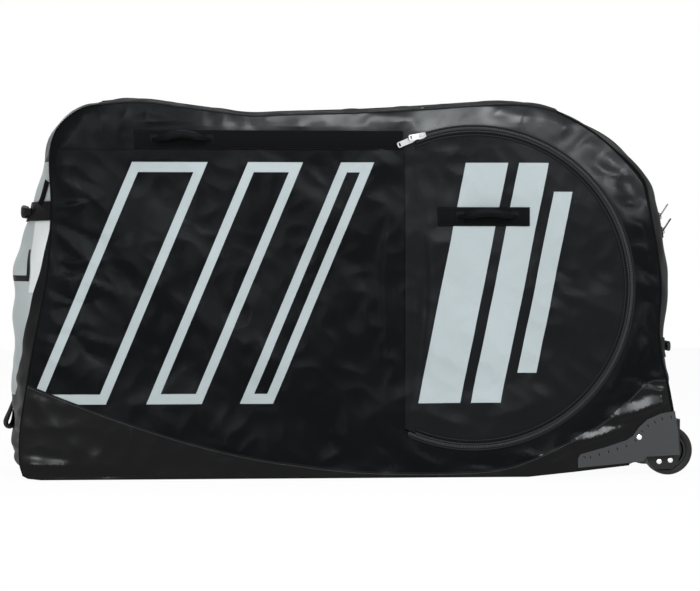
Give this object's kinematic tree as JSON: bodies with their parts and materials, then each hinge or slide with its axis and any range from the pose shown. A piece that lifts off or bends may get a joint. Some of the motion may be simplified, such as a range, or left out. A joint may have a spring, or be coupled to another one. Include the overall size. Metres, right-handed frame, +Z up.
{
  "type": "soft wheeled travel bag for a bicycle",
  "caption": "Soft padded travel bag for a bicycle, with opening top, zipped wheel pockets on both sides, grab handles, a tow loop and wheels at one end.",
  "frame": {"origin": "centre of the bounding box's underside, on the floor under the bag's middle", "axes": "+X towards the wheeled rear end, the pictured near side faces -Y, +Z up"},
  "size_m": [1.4, 0.3644, 0.7656],
  "materials": {
    "coated_nylon": "black coated nylon, dull with a soft sheen",
    "tarpaulin": "glossy black tarpaulin",
    "end_panel": "light silver coated fabric",
    "webbing": "black woven polyester webbing",
    "zip_tape": "black zip tape with moulded teeth",
    "zip_metal": "bright plated metal",
    "moulded_plastic": "charcoal moulded plastic, fine texture",
    "stiff_board": "black extruded board",
    "foam": "dark foam lining",
    "tyre": "matt black",
    "hub": "black moulded",
    "steel": "bright steel"
  },
  "bodies": {
    "bag": {"base_board": "stiff_board", "base_cover": "tarpaulin", "floor_pad": "foam", "front_end_panel": "end_panel", "rear_end_panel": "coated_nylon", "main_zip_tape_rear": "zip_tape", "front_webbing": "webbing", "rear_webbing": "webbing", "tow_loop": "webbing", "rear_beam": "moulded_plastic", "side_panel_near": "coated_nylon", "side_panel_far": "coated_nylon", "panel_zip_tape_near": "zip_tape", "panel_zip_tape_far": "zip_tape", "side_webbing_near": "webbing", "side_webbing_far": "webbing", "skirt_near": "tarpaulin", "skirt_far": "tarpaulin", "corner_guard_near": "moulded_plastic", "corner_guard_far": "moulded_plastic", "guard_rivets_near": "steel", "guard_rivets_far": "steel", "wheel_housing_near": "moulded_plastic", "wheel_housing_far": "moulded_plastic", "axle_near": "steel", "axle_far": "steel", "wheel_pocket_near": "foam", "wheel_pocket_far": "foam"},
    "flap_near": {"top_flap_near": "coated_nylon", "main_zip_tape_near": "zip_tape"},
    "flap_far": {"top_flap_far": "coated_nylon", "main_zip_tape_far": "zip_tape"},
    "door_near": {"pocket_door_near": "coated_nylon", "door_zip_tape_near": "zip_tape", "door_webbing_near": "webbing"},
    "door_far": {"pocket_door_far": "coated_nylon", "door_zip_tape_far": "zip_tape", "door_webbing_far": "webbing"},
    "pocket_slider_a_near": {"pocket_slider_a_near": "zip_metal"},
    "pocket_pull_a_near": {"pocket_pull_a_near": "zip_metal"},
    "pocket_slider_b_near": {"pocket_slider_b_near": "zip_metal"},
    "pocket_pull_b_near": {"pocket_pull_b_near": "zip_metal"},
    "pocket_slider_a_far": {"pocket_slider_a_far": "zip_metal"},
    "pocket_pull_a_far": {"pocket_pull_a_far": "zip_metal"},
    "pocket_slider_b_far": {"pocket_slider_b_far": "zip_metal"},
    "pocket_pull_b_far": {"pocket_pull_b_far": "zip_metal"},
    "main_slider_a": {"main_slider_a": "zip_metal"},
    "main_pull_a": {"main_pull_a": "zip_metal"},
    "main_slider_b": {"main_slider_b": "zip_metal"},
    "main_pull_b": {"main_pull_b": "zip_metal"},
    "side_handle_near": {"side_handle_near": "webbing"},
    "door_handle_near": {"door_handle_near": "webbing"},
    "side_handle_far": {"side_handle_far": "webbing"},
    "door_handle_far": {"door_handle_far": "webbing"},
    "front_handle": {"front_handle": "webbing"},
    "rear_handle": {"rear_handle": "webbing"},
    "wheel_near": {"tyre_near": "tyre", "hub_near": "hub"},
    "wheel_far": {"tyre_far": "tyre", "hub_far": "hub"}
  },
  "joints": [
    {"name": "flap_near", "type": "hinge", "parent": "bag", "child": "flap_near", "pos_m": [0, -0.15, 0.715], "axis": [1, 0, 0], "range_deg": [0, 90]},
    {"name": "flap_far", "type": "hinge", "parent": "bag", "child": "flap_far", "pos_m": [0, 0.15, 0.715], "axis": [-1, 0, 0], "range_deg": [0, 90]},
    {"name": "door_near", "type": "hinge", "parent": "bag", "child": "door_near", "pos_m": [0.11, -0.15, 0.381], "axis": [0, 0, -1], "range_deg": [0, 90]},
    {"name": "door_far", "type": "hinge", "parent": "bag", "child": "door_far", "pos_m": [0.11, 0.15, 0.381], "axis": [0, 0, 1], "range_deg": [0, 90]},
    {"name": "pocket_slider_a_near", "type": "hinge", "parent": "bag", "child": "pocket_slider_a_near", "pos_m": [0.25, -0.15, 0.381], "axis": [0, 1, 0], "range_deg": [0, 1]},
    {"name": "pocket_pull_a_near", "type": "hinge", "parent": "pocket_slider_a_near", "child": "pocket_pull_a_near", "pos_m": [0.1224, -0.1571, 0.67729], "axis": [-0.3955, 0, 0.9184], "range_deg": [0, 15]},
    {"name": "pocket_slider_b_near", "type": "hinge", "parent": "bag", "child": "pocket_slider_b_near", "pos_m": [0.25, -0.15, 0.381], "axis": [0, 1, 0], "range_deg": [0, 216]},
    {"name": "pocket_pull_b_near", "type": "hinge", "parent": "pocket_slider_b_near", "child": "pocket_pull_b_near", "pos_m": [0.14391, -0.1571, 0.68566], "axis": [-0.1942, 0, 0.981], "range_deg": [0, 60]},
    {"name": "pocket_slider_a_far", "type": "hinge", "parent": "bag", "child": "pocket_slider_a_far", "pos_m": [0.25, 0.15, 0.381], "axis": [0, 1, 0], "range_deg": [0, 1]},
    {"name": "pocket_pull_a_far", "type": "hinge", "parent": "pocket_slider_a_far", "child": "pocket_pull_a_far", "pos_m": [0.1224, 0.1571, 0.67729], "axis": [0.3955, 0, -0.9184], "range_deg": [0, 15]},
    {"name": "pocket_slider_b_far", "type": "hinge", "parent": "bag", "child": "pocket_slider_b_far", "pos_m": [0.25, 0.15, 0.381], "axis": [0, 1, 0], "range_deg": [0, 216]},
    {"name": "pocket_pull_b_far", "type": "hinge", "parent": "pocket_slider_b_far", "child": "pocket_pull_b_far", "pos_m": [0.14391, 0.1571, 0.68566], "axis": [0.1942, 0, -0.981], "range_deg": [0, 60]},
    {"name": "main_slider_a", "type": "slide", "parent": "bag", "child": "main_slider_a", "axis": [-0.2045, 0, 0.9789], "range_m": [0, 0.042]},
    {"name": "main_pull_a", "type": "hinge", "parent": "main_slider_a", "child": "main_pull_a", "pos_m": [0.65868, 0, 0.52806], "axis": [0, 1, 0], "range_deg": [-30, 15]},
    {"name": "main_slider_b", "type": "slide", "parent": "bag", "child": "main_slider_b", "axis": [-0.2045, 0, 0.9789], "range_m": [0, 0.006]},
    {"name": "main_pull_b", "type": "hinge", "parent": "main_slider_b", "child": "main_pull_b", "pos_m": [0.66515, 0, 0.49806], "axis": [0, 1, 0], "range_deg": [0, 35]},
    {"name": "side_handle_near", "type": "hinge", "parent": "bag", "child": "side_handle_near", "pos_m": [-0.335, -0.1567, 0.676], "axis": [1, 0, 0], "range_deg": [-75, 75]},
    {"name": "door_handle_near", "type": "hinge", "parent": "door_near", "child": "door_handle_near", "pos_m": [0.276, -0.1567, 0.524], "axis": [1, 0, 0], "range_deg": [-75, 75]},
    {"name": "side_handle_far", "type": "hinge", "parent": "bag", "child": "side_handle_far", "pos_m": [-0.335, 0.1567, 0.676], "axis": [1, 0, 0], "range_deg": [-75, 75]},
    {"name": "door_handle_far", "type": "hinge", "parent": "door_far", "child": "door_handle_far", "pos_m": [0.276, 0.1567, 0.524], "axis": [1, 0, 0], "range_deg": [-75, 75]},
    {"name": "front_handle", "type": "hinge", "parent": "bag", "child": "front_handle", "pos_m": [-0.63709, 0, 0.53492], "axis": [0, 1, 0], "range_deg": [-20, 30]},
    {"name": "rear_handle", "type": "hinge", "parent": "bag", "child": "rear_handle", "pos_m": [0.66154, 0, 0.258], "axis": [0, 1, 0], "range_deg": [-20, 20]},
    {"name": "wheel_near", "type": "hinge", "parent": "bag", "child": "wheel_near", "pos_m": [0.65, -0.1175, 0.05], "axis": [0, 1, 0], "continuous": true},
    {"name": "wheel_far", "type": "hinge", "parent": "bag", "child": "wheel_far", "pos_m": [0.65, 0.1175, 0.05], "axis": [0, 1, 0], "continuous": true}
  ]
}
